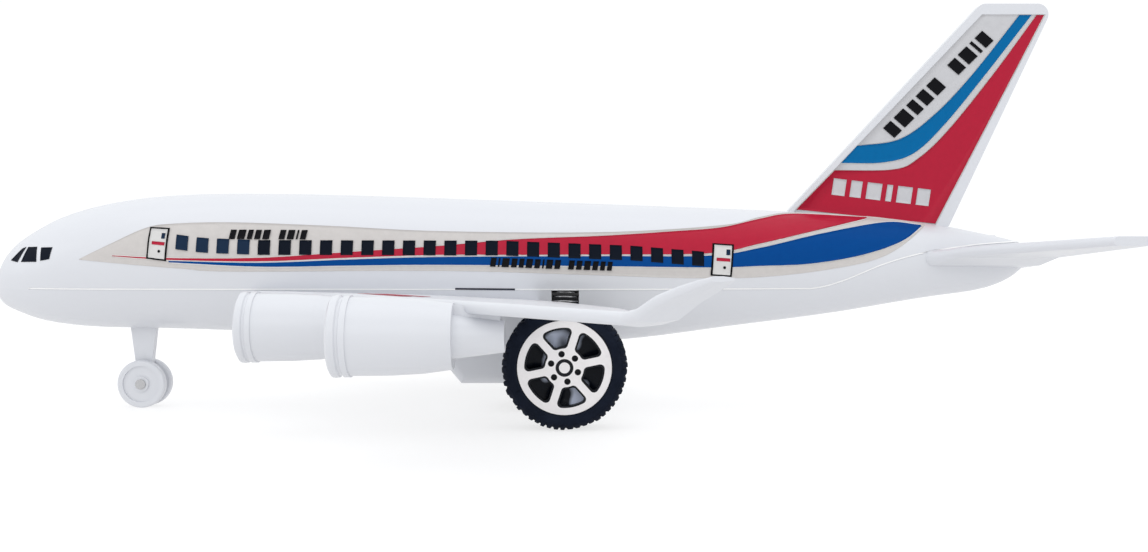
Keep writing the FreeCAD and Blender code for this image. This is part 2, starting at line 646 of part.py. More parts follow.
def rim():
    """A rim: an open barrel, a face of six spokes, a hub and a ring of blind holes."""
    face_outer = "(dims.track_outer - dims.rim_lip)"
    face_inner = "(%s - dims.rim_face_thickness)" % face_outer
    barrel = cut("rim_barrel",
                 axle_rod("barrel_outside", "dims.rim_radius", "dims.track_inner + dims.rim_lip",
                          face_outer),
                 axle_rod("barrel_inside", "dims.rim_radius - dims.rim_wall", "0", "60"))
    face = axle_rod("rim_face", "dims.rim_radius - 0.1", face_inner, face_outer)
    hub = axle_rod("rim_hub", "dims.hub_radius", "dims.track_inner", face_outer)
    annulus = cut("rim_annulus",
                  axle_rod("annulus_outside", "dims.window_outer", "%s - 1" % face_inner, "60"),
                  axle_rod("annulus_inside", "dims.window_inner", "%s - 2" % face_inner, "61"))
    spokes = fuse("spoke_bars", [spoke_bar(number) for number in range(3)])
    windows = rounded("rim_windows", cut("rim_sectors", annulus, spokes),
                      "dims.window_corner", along_axle)
    cutters = [windows, axle_rod("rim_bore", "dims.axle_radius", "0", "60")]
    for number in range(6):
        turn = "(dims.spoke_phase + 30 + 60 * %d)" % number
        cutters.append(rod_across(
            "lug_%d" % number, "dims.lug_radius",
            "dims.axle_along + dims.lug_circle * cos(%s)" % turn,
            "dims.wheel_radius + dims.lug_circle * sin(%s)" % turn,
            "%s - dims.lug_depth" % face_outer, "60"))
    return cut("left_rim", fuse("rim_solid", [barrel, face, hub]), fuse("rim_cutters", cutters))


def tyre():
    """A black tyre with bevelled shoulders, round the rim."""
    body = turned("left_tyre", (
        ("dims.track_inner", "dims.rim_radius + 0.5"),
        ("dims.track_inner", "dims.wheel_radius - dims.tyre_shoulder"),
        ("dims.track_inner + dims.tyre_shoulder", "dims.wheel_radius"),
        ("dims.track_outer - dims.tyre_shoulder", "dims.wheel_radius"),
        ("dims.track_outer", "dims.wheel_radius - dims.tyre_shoulder"),
        ("dims.track_outer", "dims.rim_radius + 0.5"),
        ("dims.track_outer - dims.rim_lip", "dims.rim_radius"),
        ("dims.track_inner + dims.rim_lip", "dims.rim_radius")))
    body.Placement.Rotation = Rotation(Vector(0, 0, 1), 90)
    return place(body, "dims.axle_along", "0", "dims.wheel_radius")


left_rim = rim()
left_tyre = tyre()
right_rim = mirrored("right_rim", left_rim)
right_tyre = mirrored("right_tyre", left_tyre)
main_axle = axle_rod("main_axle_shaft", "dims.axle_radius", "-dims.track_outer + 1", "dims.track_outer - 1")


# --- friction motor ----------------------------------------------------------------------------

GEAR_REACH = "(dims.gear_module * (%s + dims.pinion_teeth) / 2)"
FIRST = (
    "(dims.axle_along + %s * cos(dims.first_angle))" % (GEAR_REACH % "dims.axle_teeth"),
    "(dims.wheel_radius + %s * sin(dims.first_angle))" % (GEAR_REACH % "dims.axle_teeth"))
SECOND = (
    "(%s + %s * cos(dims.second_angle))" % (FIRST[0], GEAR_REACH % "dims.wheel_teeth"),
    "(%s + %s * sin(dims.second_angle))" % (FIRST[1], GEAR_REACH % "dims.wheel_teeth"))
THIRD = (
    "(%s + %s * cos(dims.third_angle))" % (SECOND[0], GEAR_REACH % "dims.wheel_teeth"),
    "(%s + %s * sin(dims.third_angle))" % (SECOND[1], GEAR_REACH % "dims.wheel_teeth"))


def involute(angle):
    """The involute function of an angle in radians."""
    return math.tan(angle) - angle


def polar(radius, angle):
    """A point of the gear's own plane."""
    return Vector(radius * math.cos(angle), radius * math.sin(angle), 0)


def gear_face(teeth, phase):
    """The outline of a spur gear, as a face, with a tooth's middle at the phase angle."""
    size = value("dims.gear_module")
    pressure = math.radians(value("dims.pressure_angle"))
    pitch = size * teeth / 2
    base = pitch * math.cos(pressure)
    tip = pitch + value("dims.addendum") * size
    root = pitch - value("dims.dedendum") * size
    pitch_half = math.pi / 2 / teeth - value("dims.backlash") / 2 / pitch
    low = max(base, root)

    def half_angle(radius):
        return pitch_half + involute(pressure) - involute(math.acos(min(1.0, base / radius)))

    radii = [low + (tip - low) * step / 4 for step in range(5)]
    edges = []
    for tooth in range(teeth):
        middle = phase + 2 * math.pi * tooth / teeth
        right = [polar(radius, middle - half_angle(radius)) for radius in radii]
        left = [polar(radius, middle + half_angle(radius)) for radius in radii]
        root_half = half_angle(low)
        if root < low:
            edges.append(Part.LineSegment(polar(root, middle - root_half), right[0]).toShape())
        flank = Part.BSplineCurve()
        flank.interpolate(right)
        edges.append(flank.toShape())
        edges.append(Part.Arc(right[-1], polar(tip, middle), left[-1]).toShape())
        flank = Part.BSplineCurve()
        flank.interpolate(left[::-1])
        edges.append(flank.toShape())
        if root < low:
            edges.append(Part.LineSegment(left[0], polar(root, middle + root_half)).toShape())
        next_start = middle + 2 * math.pi / teeth - root_half
        edges.append(Part.Arc(polar(root, middle + root_half), polar(root, middle + math.pi / teeth),
                              polar(root, next_start)).toShape())
    return Part.Face(Part.Wire(edges))


def gear(centre, layers, bore):
    """Toothed layers on one axis across the model, each (teeth, phase, start, end), with a bore."""
    solids = []
    for teeth, phase, start, end in layers:
        layer = gear_face(teeth, phase).extrude(Vector(0, 0, end - start))
        layer.translate(Vector(0, 0, -end))
        solids.append(layer)
    shape = solids[0]
    for layer in solids[1:]:
        shape = shape.fuse(layer)
    shape = shape.cut(Part.makeCylinder(bore, 60, Vector(0, 0, -30)))
    place_at = Vector(value(centre[0]), 0, value(centre[1]))
    return shape, Placement(place_at, Rotation(Vector(1, 0, 0), 90))


def gear_piece(name, centre, layers, bore):
    """A gear as an object of the document."""
    shape, position = gear(centre, layers, bore)
    item = doc.addObject("Part::Feature", name)
    item.Shape = shape
    item.Placement = position
    return item


def mesh_phase(direction, teeth):
    """The phase that puts a gap, not a tooth, towards the gear it meshes with."""
    return direction + math.pi + math.pi / teeth


axle_teeth = int(value("dims.axle_teeth"))
wheel_teeth = int(value("dims.wheel_teeth"))
pinion_teeth = int(value("dims.pinion_teeth"))
first_way = math.radians(value("dims.first_angle"))
second_way = math.radians(value("dims.second_angle"))
third_way = math.radians(value("dims.third_angle"))
pin_bore = value("dims.pin_radius + dims.running_gap")
AXLE = ("dims.axle_along", "dims.wheel_radius")

axle_gear = gear_piece("axle_gear", AXLE, [(axle_teeth, first_way, -8.0, -4.5)],
                       value("dims.axle_radius"))
first_idler = gear_piece("first_idler_gear", FIRST, [
    (pinion_teeth, mesh_phase(first_way, pinion_teeth), -8.2, -3.8),
    (wheel_teeth, second_way, -3.8, -1.4)], pin_bore)
second_idler = gear_piece("second_idler_gear", SECOND, [
    (pinion_teeth, mesh_phase(second_way, pinion_teeth), -4.0, -0.8),
    (wheel_teeth, third_way, -0.8, 1.6)], pin_bore)
flywheel_pinion = gear_piece("flywheel_pinion", THIRD, [
    (pinion_teeth, mesh_phase(third_way, pinion_teeth), -1.0, 2.2)], value("dims.arbor_radius"))
flywheel_arbor = rod_across("flywheel_arbor", "dims.arbor_radius", THIRD[0], THIRD[1],
                            "-dims.motor_half_width + 0.2", "dims.motor_half_width - 0.2")
flywheel_disc = rod_across("flywheel_disc", "dims.flywheel_radius", THIRD[0], THIRD[1],
                           "dims.flywheel_inner", "dims.flywheel_outer")
flywheel_groove = cut(
    "flywheel_groove",
    rod_across("groove_outside", "dims.flywheel_radius - dims.flywheel_rim", THIRD[0], THIRD[1],
               "dims.flywheel_outer - dims.groove_depth", "20"),
    rod_across("groove_inside", "dims.groove_inner", THIRD[0], THIRD[1], "0", "21"))
flywheel = cut("flywheel", cut("flywheel_dished", flywheel_disc, flywheel_groove),
               rod_across("flywheel_bore", "dims.arbor_radius", THIRD[0], THIRD[1], "0", "22"))
gear_pins = doc.addObject("Part::Compound", "gear_pins")
gear_pins.Links = [
    rod_across("first_pin", "dims.pin_radius", FIRST[0], FIRST[1],
               "-dims.motor_half_width", "dims.motor_half_width"),
    rod_across("second_pin", "dims.pin_radius", SECOND[0], SECOND[1],
               "-dims.motor_half_width", "dims.motor_half_width")]

MOTOR_SCREWS = (("dims.motor_rear + 2.4", "dims.motor_top - 2.4"),
                ("dims.motor_front - 2.4", "dims.motor_top - 2.4"),
                ("dims.motor_toe - 2", "dims.motor_floor + 3"))
motor_room = prism("motor_room", inset("motor_inset", motor_outline, "dims.motor_wall"),
                   "-dims.motor_half_width + dims.motor_wall", "dims.motor_half_width - dims.motor_wall")
motor_posts = [rod_across("motor_post_%d" % number, "dims.motor_post_radius", along, up,
                          "-dims.motor_half_width", "dims.motor_half_width")
               for number, (along, up) in enumerate(MOTOR_SCREWS)]
motor_holes = [rod_across("motor_hole_%d" % number, "dims.motor_screw_radius", along, up, "-20", "20")
               for number, (along, up) in enumerate(MOTOR_SCREWS)]
motor_bores = [
    axle_rod("case_axle_bore", "dims.axle_radius + dims.running_gap", "-20", "20"),
    rod_across("case_first_bore", "dims.pin_radius", FIRST[0], FIRST[1], "-20", "20"),
    rod_across("case_second_bore", "dims.pin_radius", SECOND[0], SECOND[1], "-20", "20"),
    rod_across("case_arbor_bore", "dims.arbor_radius + dims.running_gap", THIRD[0], THIRD[1], "-20", "20")]
motor_shell = cut("motor_shell",
                  fuse("motor_walls", [cut("motor_hollow", motor_block, motor_room)] + motor_posts),
                  fuse("motor_cutters", motor_holes + motor_bores))
left_side = box("left_side", ("-60", "0", "0"), ("60", "40", "60"))
left_case = common("left_case", [motor_shell, left_side])
right_case = cut("right_case", motor_shell, left_side)

motor_screws = doc.addObject("Part::Compound", "motor_screws")
motor_screws.Links = [
    fuse("motor_screw_%d" % number, [
        rod_across("motor_shank_%d" % number, "dims.motor_screw_radius", along, up,
                   "-dims.motor_half_width + 2", "dims.motor_half_width"),
        rod_across("motor_head_%d" % number, "2 * dims.motor_screw_radius", along, up,
                   "dims.motor_half_width", "dims.motor_half_width + 0.9")])
    for number, (along, up) in enumerate(MOTOR_SCREWS)]


# --- shells, with everything that passes through them --------------------------------------------

def screw_parts(name):
    """A screw post's recess and pilot hole, and the screw itself."""
    along = "dims.%s_post" % name
    head_top = "(dims.%s_post_floor + 3.5)" % name
    tip = "dims.seam_height + dims.screw_bite"
    recess = rod_up(name + "_recess", "dims.screw_head_radius + 0.1", along, "0", head_top)
    passage = rod_up(name + "_passage", "dims.screw_radius", along, "0", tip)
    shank = rod_up(name + "_shank", "dims.screw_radius", along, head_top, tip)
    head = rod_up(name + "_head", "dims.screw_head_radius", along,
                  "%s - dims.screw_head_height" % head_top, head_top)
    slot_long = box(name + "_slot_long", ("%s - 1.3" % along, "-0.3", "%s - 1.6" % head_top),
                    ("%s + 1.3" % along, "0.3", "%s - 0.8" % head_top))
    slot_wide = box(name + "_slot_wide", ("%s - 0.3" % along, "-1.3", "%s - 1.6" % head_top),
                    ("%s + 0.3" % along, "1.3", "%s - 0.8" % head_top))
    screw = cut(name + "_screw", fuse(name + "_blank", [shank, head]),
                fuse(name + "_cross", [slot_long, slot_wide]))
    return recess, passage, screw


recesses = []
passages = []
screws = []
for post_name in POSTS:
    recess, passage, screw = screw_parts(post_name)
    recesses.append(recess)
    passages.append(passage)
    screws.append(screw)
shell_screws = doc.addObject("Part::Compound", "shell_screws")
shell_screws.Links = screws

# The axle passes through a slot in each side wall, rounded at its lower end.
slot_low = "dims.axle_along - dims.axle_slot_radius"
slot_high = "dims.axle_along + dims.axle_slot_radius"
axle_slots = []
for side, start, end in (("left", "12", "24"), ("right", "-24", "-12")):
    axle_slots.append(box("slot_" + side, (slot_low, start, "dims.wheel_radius"), (slot_high, end, "40")))
    axle_slots.append(rod_across("slot_end_" + side, "dims.axle_slot_radius", "dims.axle_along",
                                 "dims.wheel_radius", start, end))

lower_posts = [rod_up(name + "_lower_post", "dims.post_radius", "dims.%s_post" % name,
                      "dims.%s_post_floor" % name, "dims.seam_height") for name in POSTS]
upper_posts = [rod_up(name + "_upper_post", "dims.post_radius", "dims.%s_post" % name,
                      "dims.seam_height", "dims.%s_post_roof" % name) for name in POSTS]
lower_half = cut_each(
    "lower_half", cut("lower_plain", both_shells, upper_space),
    [left_wing, right_wing, left_tailplane, right_tailplane, leg_blade, motor_window] + axle_slots)
upper_half = cut_each(
    "upper_half", common("upper_plain", [both_shells, upper_space]),
    [left_tailplane, right_tailplane, fin])
lower_shell = cut_each("lower_shell_cut", fuse("lower_with_posts", [lower_half] + lower_posts),
                       recesses + passages)
upper_shell = cut_each("upper_shell_cut", fuse("upper_with_posts", [upper_half] + upper_posts),
                       passages)

inner_nacelle_right = mirrored("inner_nacelle_right", inner_nacelle)
outer_nacelle_right = mirrored("outer_nacelle_right", outer_nacelle)
inner_ring_right = mirrored("inner_ring_right", inner_ring)
outer_ring_right = mirrored("outer_ring_right", outer_ring)


# --- the separate pieces -------------------------------------------------------------------------

PIECES = {
    "upper_shell": upper_shell,
    "lower_shell": lower_shell,
    "wing_left": left_wing,
    "wing_right": right_wing,
    "tail_fin": fin,
    "tailplane_left": left_tailplane,
    "tailplane_right": right_tailplane,
    "nacelle_inner_left": inner_nacelle,
    "nacelle_inner_right": inner_nacelle_right,
    "nacelle_outer_left": outer_nacelle,
    "nacelle_outer_right": outer_nacelle_right,
    "intake_ring_inner_left": inner_ring,
    "intake_ring_inner_right": inner_ring_right,
    "intake_ring_outer_left": outer_ring,
    "intake_ring_outer_right": outer_ring_right,
    "nose_leg": nose_leg,
    "nose_axle_pin": nose_pin,
    "nose_wheel_left": left_nose_wheel,
    "nose_wheel_right": right_nose_wheel,
    "shell_screws": shell_screws,
    "motor_case_left": left_case,
    "motor_case_right": right_case,
    "motor_screws": motor_screws,
    "gear_pins": gear_pins,
    "first_idler_gear": first_idler,
    "second_idler_gear": second_idler,
    "flywheel_pinion": flywheel_pinion,
    "flywheel_arbor": flywheel_arbor,
    "flywheel": flywheel,
    "axle_gear": axle_gear,
    "main_axle_shaft": main_axle,
    "wheel_rim_left": left_rim,
    "wheel_rim_right": right_rim,
    "tyre_left": left_tyre,
    "tyre_right": right_tyre,
}

doc.recompute()
failed = [item.Name for item in doc.Objects if "Invalid" in item.State or "Error" in item.State]
if failed:
    raise RuntimeError("these objects failed: %s" % ", ".join(failed))
for label, item in PIECES.items():
    if item.Shape.isNull() or not item.Shape.isValid():
        raise RuntimeError("%s has no valid shape" % label)
    item.Label = label

os.makedirs("parts", exist_ok=True)
for label, item in PIECES.items():
    item.Shape.exportStep("parts/%s.step" % label)
    box_of = item.Shape.BoundBox
    print("%-26s solids %d  volume %9.1f  x %7.2f..%7.2f  y %7.2f..%7.2f  z %6.2f..%6.2f" % (
        label, len(item.Shape.Solids), item.Shape.Volume, box_of.XMin, box_of.XMax,
        box_of.YMin, box_of.YMax, box_of.ZMin, box_of.ZMax))
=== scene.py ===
import math
import random

import bmesh
import bpy
from mathutils import Matrix, Vector
from mathutils.bvhtree import BVHTree


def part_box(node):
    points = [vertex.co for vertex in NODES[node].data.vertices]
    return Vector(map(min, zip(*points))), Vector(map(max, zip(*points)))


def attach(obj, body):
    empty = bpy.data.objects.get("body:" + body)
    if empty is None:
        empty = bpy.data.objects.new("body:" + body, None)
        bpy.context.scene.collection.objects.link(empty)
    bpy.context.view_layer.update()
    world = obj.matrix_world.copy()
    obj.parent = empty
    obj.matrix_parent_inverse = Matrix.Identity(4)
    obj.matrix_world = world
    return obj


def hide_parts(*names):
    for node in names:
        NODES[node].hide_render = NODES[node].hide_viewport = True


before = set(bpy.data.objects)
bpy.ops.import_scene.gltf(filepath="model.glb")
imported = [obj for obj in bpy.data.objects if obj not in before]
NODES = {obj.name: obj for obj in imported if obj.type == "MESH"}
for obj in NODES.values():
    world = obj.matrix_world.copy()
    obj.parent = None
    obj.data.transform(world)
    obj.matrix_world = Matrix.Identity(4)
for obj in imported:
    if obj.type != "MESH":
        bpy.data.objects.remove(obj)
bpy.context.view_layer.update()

# The toy airliner's looks. Lengths are in millimetres until they reach a mesh, and MM turns them
# into metres. +X is the nose, +Y the left wing and +Z up. Livery positions are given as
# (distance behind the nose, height), the height being that of a body whose roof is at ROOF.

MM = 0.001
SIDES = {"left": 1, "right": -1}
ROOF = 63.1


def box_mm(node):
    """Lowest and highest corner of a CAD node, in millimetres."""
    low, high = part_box(node)
    return low / MM, high / MM


HULL_HIGH = box_mm("upper_shell")[1]
NOSE = HULL_HIGH.x
TYRE_LOW, TYRE_HIGH = box_mm("tyre_left")
RIM_LOW, RIM_HIGH = box_mm("wheel_rim_left")
FIN_HIGH = box_mm("tail_fin")[1]
AXLE_X = (TYRE_LOW.x + TYRE_HIGH.x) / 2
AXLE_Z = (TYRE_LOW.z + TYRE_HIGH.z) / 2
TYRE_RADIUS = (TYRE_HIGH.z - TYRE_LOW.z) / 2
RIM_RADIUS = (RIM_HIGH.z - RIM_LOW.z) / 2


# --- materials -----------------------------------------------------------------------------------
# Broad plastics and inks keep their roughness clear of 0.27, because the denoiser leaves blotches
# where it drifts across that.

def new_material(name, color, rough, metal=0.0, coat=0.0, coat_rough=0.1, specular=0.5,
                 subsurface=0.0):
    """A Principled material; returns it with its tree and shader."""
    made = bpy.data.materials.new(name)
    made.use_nodes = True
    tree = made.node_tree
    shader = tree.nodes["Principled BSDF"]
    shader.inputs["Base Color"].default_value = (*color, 1)
    shader.inputs["Roughness"].default_value = rough
    shader.inputs["Metallic"].default_value = metal
    shader.inputs["Coat Weight"].default_value = coat
    shader.inputs["Coat Roughness"].default_value = coat_rough
    shader.inputs["Specular IOR Level"].default_value = specular
    shader.inputs["Subsurface Weight"].default_value = subsurface
    shader.inputs["Subsurface Radius"].default_value = (1.0, 0.95, 0.9)
    shader.inputs["Subsurface Scale"].default_value = 2 * MM
    return made, tree, shader


def noise(tree, scale, detail=4.0, rough=0.55, stretch=(1, 1, 1)):
    """Noise in object coordinates; the scale is in cycles per metre."""
    place = tree.nodes.new("ShaderNodeTexCoord")
    mapping = tree.nodes.new("ShaderNodeMapping")
    mapping.inputs["Scale"].default_value = stretch
    made = tree.nodes.new("ShaderNodeTexNoise")
    made.inputs["Scale"].default_value = scale
    made.inputs["Detail"].default_value = detail
    made.inputs["Roughness"].default_value = rough
    tree.links.new(place.outputs["Object"], mapping.inputs["Vector"])
    tree.links.new(mapping.outputs["Vector"], made.inputs["Vector"])
    return made.outputs["Fac"]


def spread(tree, value, low, high, start=0.3, end=0.7):
    """A value stretched onto a range."""
    made = tree.nodes.new("ShaderNodeMapRange")
    made.inputs["From Min"].default_value = start
    made.inputs["From Max"].default_value = end
    made.inputs["To Min"].default_value = low
    made.inputs["To Max"].default_value = high
    tree.links.new(value, made.inputs["Value"])
    return made.outputs["Result"]


def tint(tree, shader, value, first, second, start=0.3, end=0.7):
    """The base colour drifting between two tints."""
    made = tree.nodes.new("ShaderNodeValToRGB")
    made.color_ramp.elements[0].position = start
    made.color_ramp.elements[0].color = (*first, 1)
    made.color_ramp.elements[1].position = end
    made.color_ramp.elements[1].color = (*second, 1)
    tree.links.new(value, made.inputs["Fac"])
    tree.links.new(made.outputs["Color"], shader.inputs["Base Color"])


def bump(tree, shader, height, strength, distance):
    """A bump from a height value; its distance is in millimetres."""
    made = tree.nodes.new("ShaderNodeBump")
    made.inputs["Strength"].default_value = strength
    made.inputs["Distance"].default_value = distance * MM
    tree.links.new(height, made.inputs["Height"])
    tree.links.new(made.outputs["Normal"], shader.inputs["Normal"])


def moulded(name, color, second, rough, coat=0.0, subsurface=0.0, specular=0.5):
    """Injection-moulded plastic: faint flow marks, uneven gloss and slow waves."""
    made, tree, shader = new_material(name, color, rough, coat=coat, subsurface=subsurface,
                                      specular=specular)
    tint(tree, shader, noise(tree, 14, 2, 0.5, (0.3, 1, 1)), color, second, 0.0, 1.0)
    tree.links.new(spread(tree, noise(tree, 40, 2, 0.5), rough * 0.8, rough * 1.25, 0.0, 1.0),
                   shader.inputs["Roughness"])
    bump(tree, shader, noise(tree, 70, 1, 0.4), 0.08, 0.03)
    return made


def metal(name, color, rough, stretch, scale=900):
    """Drawn or turned metal with fine lines along one direction."""
    made, tree, shader = new_material(name, color, rough, metal=1.0)
    lines = noise(tree, scale, 3, 0.6, stretch)
    tree.links.new(spread(tree, lines, rough * 0.6, rough * 1.1), shader.inputs["Roughness"])
    darker = tuple(channel * 0.82 for channel in color)
    tint(tree, shader, noise(tree, 70, 4, 0.6), darker, color)
    bump(tree, shader, lines, 0.35, 0.01)
    return made


def printed(name, color, metal_amount=0.0, shine=1.0):
    """Ink under a clear laminate, with slight ink mottling and a dimpled film."""
    rough = 0.42
    made, tree, shader = new_material(name, color, rough, metal=metal_amount, coat=0.12 * shine,
                                      coat_rough=0.08, specular=0.14 * shine)
    darker = tuple(channel * 0.93 for channel in color)
    tint(tree, shader, noise(tree, 500, 4, 0.7), darker, color)
    tree.links.new(spread(tree, noise(tree, 150, 4, 0.6), rough * 0.7, rough * 1.3),
                   shader.inputs["Roughness"])
    bump(tree, shader, noise(tree, 110, 3, 0.5), 0.2, 0.03)
    return made


def shade_dish_painted_glints():
    """Dark polished plastic as painted shade behind the spokes, with painted bluish glints."""
    made, tree, shader = new_material("shade_dish_painted_glints", (0.004, 0.006, 0.010), 0.2, specular=0.12)
    # Painted reflections: bluish patches in the base colour.
    tint(tree, shader, noise(tree, 130, 1, 0.4), (0.003, 0.005, 0.010), (0.75, 0.82, 1.0), 0.56, 0.68)
    return made


def rubber(name, color, rough):
    """Soft tyre compound: dusty and slightly grained."""
    made, tree, shader = new_material(name, color, rough, specular=0.12)
    dusty = tuple(channel * 1.6 + 0.003 for channel in color)
    tint(tree, shader, noise(tree, 160, 6, 0.65), color, dusty, 0.42, 0.78)
    tree.links.new(spread(tree, noise(tree, 240, 5, 0.6), rough * 0.8, rough * 1.25),
                   shader.inputs["Roughness"])
    bump(tree, shader, noise(tree, 1500, 3, 0.6), 0.4, 0.04)
    return made


WHITE = moulded("white_plastic", (0.703, 0.716, 0.755), (0.713, 0.724, 0.760), 0.36, coat=0.35)
BLACK = moulded("black_plastic", (0.010, 0.010, 0.012), (0.018, 0.018, 0.021), 0.18, coat=0.3)
RIM_BLACK = moulded("rim_plastic", (0.007, 0.008, 0.011), (0.012, 0.013, 0.017), 0.38,
                    specular=0.15)
# Painted shade with painted glints, for the dish behind the spokes.
DISH_SHADE_AND_GLINTS = shade_dish_painted_glints()
NYLON = moulded("gear_nylon", (0.74, 0.72, 0.66), (0.80, 0.78, 0.72), 0.42, subsurface=0.1)
STEEL = metal("drawn_steel", (0.60, 0.60, 0.61), 0.24, (1, 0.05, 1))
SCREW = metal("zinc_screw", (0.55, 0.55, 0.56), 0.30, (1, 1, 0.1))
IRON = metal("turned_iron", (0.30, 0.29, 0.28), 0.34, (1, 0.05, 1), scale=500)
FOIL = printed("silver_foil", (0.90, 0.875, 0.875), metal_amount=0.5)
TYRE = rubber("tyre_rubber", (0.003, 0.006, 0.015), 0.62)
FIELD = printed("print_beige", (0.62, 0.59, 0.572))
FIN_FIELD = printed("print_grey", (0.60, 0.60, 0.62))
RED = printed("print_red", (0.46, 0.008, 0.036))
BLUE = printed("print_blue", (0.0, 0.062, 0.27), shine=0.3)
FIN_BLUE = printed("print_light_blue", (0.0, 0.14, 0.37), shine=0.4)
NAVY = printed("print_navy", (0.010, 0.026, 0.060), shine=0.3)
DARK = printed("print_dark", (0.004, 0.007, 0.015), shine=0.3)
INK = printed("print_black", (0.008, 0.008, 0.010), shine=0.2)
PAPER = printed("print_white", (0.78, 0.77, 0.75))
LEAF = printed("print_door", (0.69, 0.68, 0.67))
# The seam lip is painted brighter than the white plastic, as a highlight.
PAINTED_HIGHLIGHT_LIP = moulded("seam_lip_painted_highlight", (0.95, 0.95, 0.95), (0.95, 0.95, 0.95), 0.3)
# The seam's shade line and the joint's open gap are painted shade.
SHADE = moulded("seam_shade", (0.50, 0.51, 0.55), (0.53, 0.54, 0.58), 0.4)
PAINTED_GAP_SHADE = moulded("gap_shade", (0.012, 0.014, 0.03), (0.02, 0.02, 0.04), 0.6)

NODE_MATERIALS = {
    "motor_case": BLACK, "wheel_rim": RIM_BLACK, "axle_gear": NYLON, "first_idler": NYLON,
    "second_idler": NYLON, "flywheel_pinion": NYLON, "flywheel_arbor": STEEL, "flywheel": IRON,
    "main_axle": STEEL, "nose_axle": STEEL, "gear_pins": STEEL, "shell_screws": SCREW,
    "motor_screws": SCREW, "tyre": TYRE,
}


def finish_nodes():
    """Give each CAD node the finish of its longest matching prefix, or else white plastic."""
    for name, node in NODES.items():
        chosen = WHITE
        for prefix, option in sorted(NODE_MATERIALS.items(), key=lambda pair: len(pair[0])):
            if name.startswith(prefix):
                chosen = option
        node.data.materials.clear()
        node.data.materials.append(chosen)


finish_nodes()


# --- mesh helpers ----------------------------------------------------------------------------------

def make_piece(name, points, faces, materials, indices=None, body="root", smooth=True):
    """An object from points in millimetres; it rides on a body."""
    mesh = bpy.data.meshes.new(name)
    mesh.from_pydata([Vector(point) * MM for point in points], [], faces)
    for item in materials:
        mesh.materials.append(item)
    if indices:
        mesh.polygons.foreach_set("material_index", indices)
    mesh.polygons.foreach_set("use_smooth", [smooth] * len(mesh.polygons))
    mesh.validate()
    mesh.update()
    made = bpy.data.objects.new(name, mesh)
    bpy.context.scene.collection.objects.link(made)
    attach(made, body)
    return made


def smooth_curve(points, count):
    """Evenly spaced samples of a Catmull-Rom curve through the points."""
    points = [Vector(point) for point in points]
    ends = [2 * points[0] - points[1], *points, 2 * points[-1] - points[-2]]
    fine = []
    for a, b, c, d in zip(ends, ends[1:], ends[2:], ends[3:]):
        for step in range(16):
            part = step / 16
            fine.append(0.5 * (2 * b + (c - a) * part + (2 * a - 5 * b + 4 * c - d) * part ** 2
                               + (3 * b - a - 3 * c + d) * part ** 3))
    fine.append(points[-1])
    return resample(fine, count)


def resample(points, count):
    """Evenly spaced samples along a polyline."""
    points = [Vector(point) for point in points]
    along = [0.0]
    for start, end in zip(points, points[1:]):
        along.append(along[-1] + (end - start).length)
    made = []
    index = 0
    for step in range(count):
        target = along[-1] * step / (count - 1)
        while index < len(points) - 2 and along[index + 1] < target:
            index += 1
        gap = along[index + 1] - along[index]
        part = 0.0 if gap == 0 else (target - along[index]) / gap
        made.append(points[index].lerp(points[index + 1], min(1.0, part)))
    return made


def hull_tree():
    """The outside of the fuselage, for laying stickers on."""
    mesh = bmesh.new()
    for name in ("upper_shell", "lower_shell"):
        mesh.from_mesh(NODES[name].data)
    tree = BVHTree.FromBMesh(mesh)
    mesh.free()
    return tree


HULL = hull_tree()


def on_hull(side):
    """A function from (behind the nose, height) to a point and normal on one side of the hull."""
    def project(spot):
        start = Vector((NOSE - spot[0], side * 100, spot[1] + HULL_HIGH.z - ROOF)) * MM
        hit, normal = HULL.ray_cast(start, Vector((0, -side, 0)))[:2]
        if hit is None or hit.y * side < 0:
            hit, normal = HULL.find_nearest(Vector((start.x, 0, start.z)))[:2]
        if normal.dot(Vector((0, side, 0))) < 0:
            normal = -normal
        return hit / MM, normal
    return project


def on_fin(side):
    """The same for one flat side of the tail fin."""
    def project(spot):
        place = Vector((NOSE - spot[0], side * FIN_HIGH.y, spot[1] + HULL_HIGH.z - ROOF))
        return place, Vector((0, side, 0))
    return project


def on_wing(side):
    """The same for a wing's top, from (behind the nose, off the centreline); the right mirrors the left."""
    tree = BVHTree.FromPolygons([vertex.co for vertex in NODES["wing_left"].data.vertices],
                                [face.vertices for face in NODES["wing_left"].data.polygons])

    def project(spot):
        start = Vector((NOSE - spot[0], spot[1], 100)) * MM
        hit = tree.ray_cast(start, Vector((0, 0, -1)))[0]
        return Vector((hit.x, side * hit.y, hit.z)) / MM, Vector((0, 0, 1))
    return project


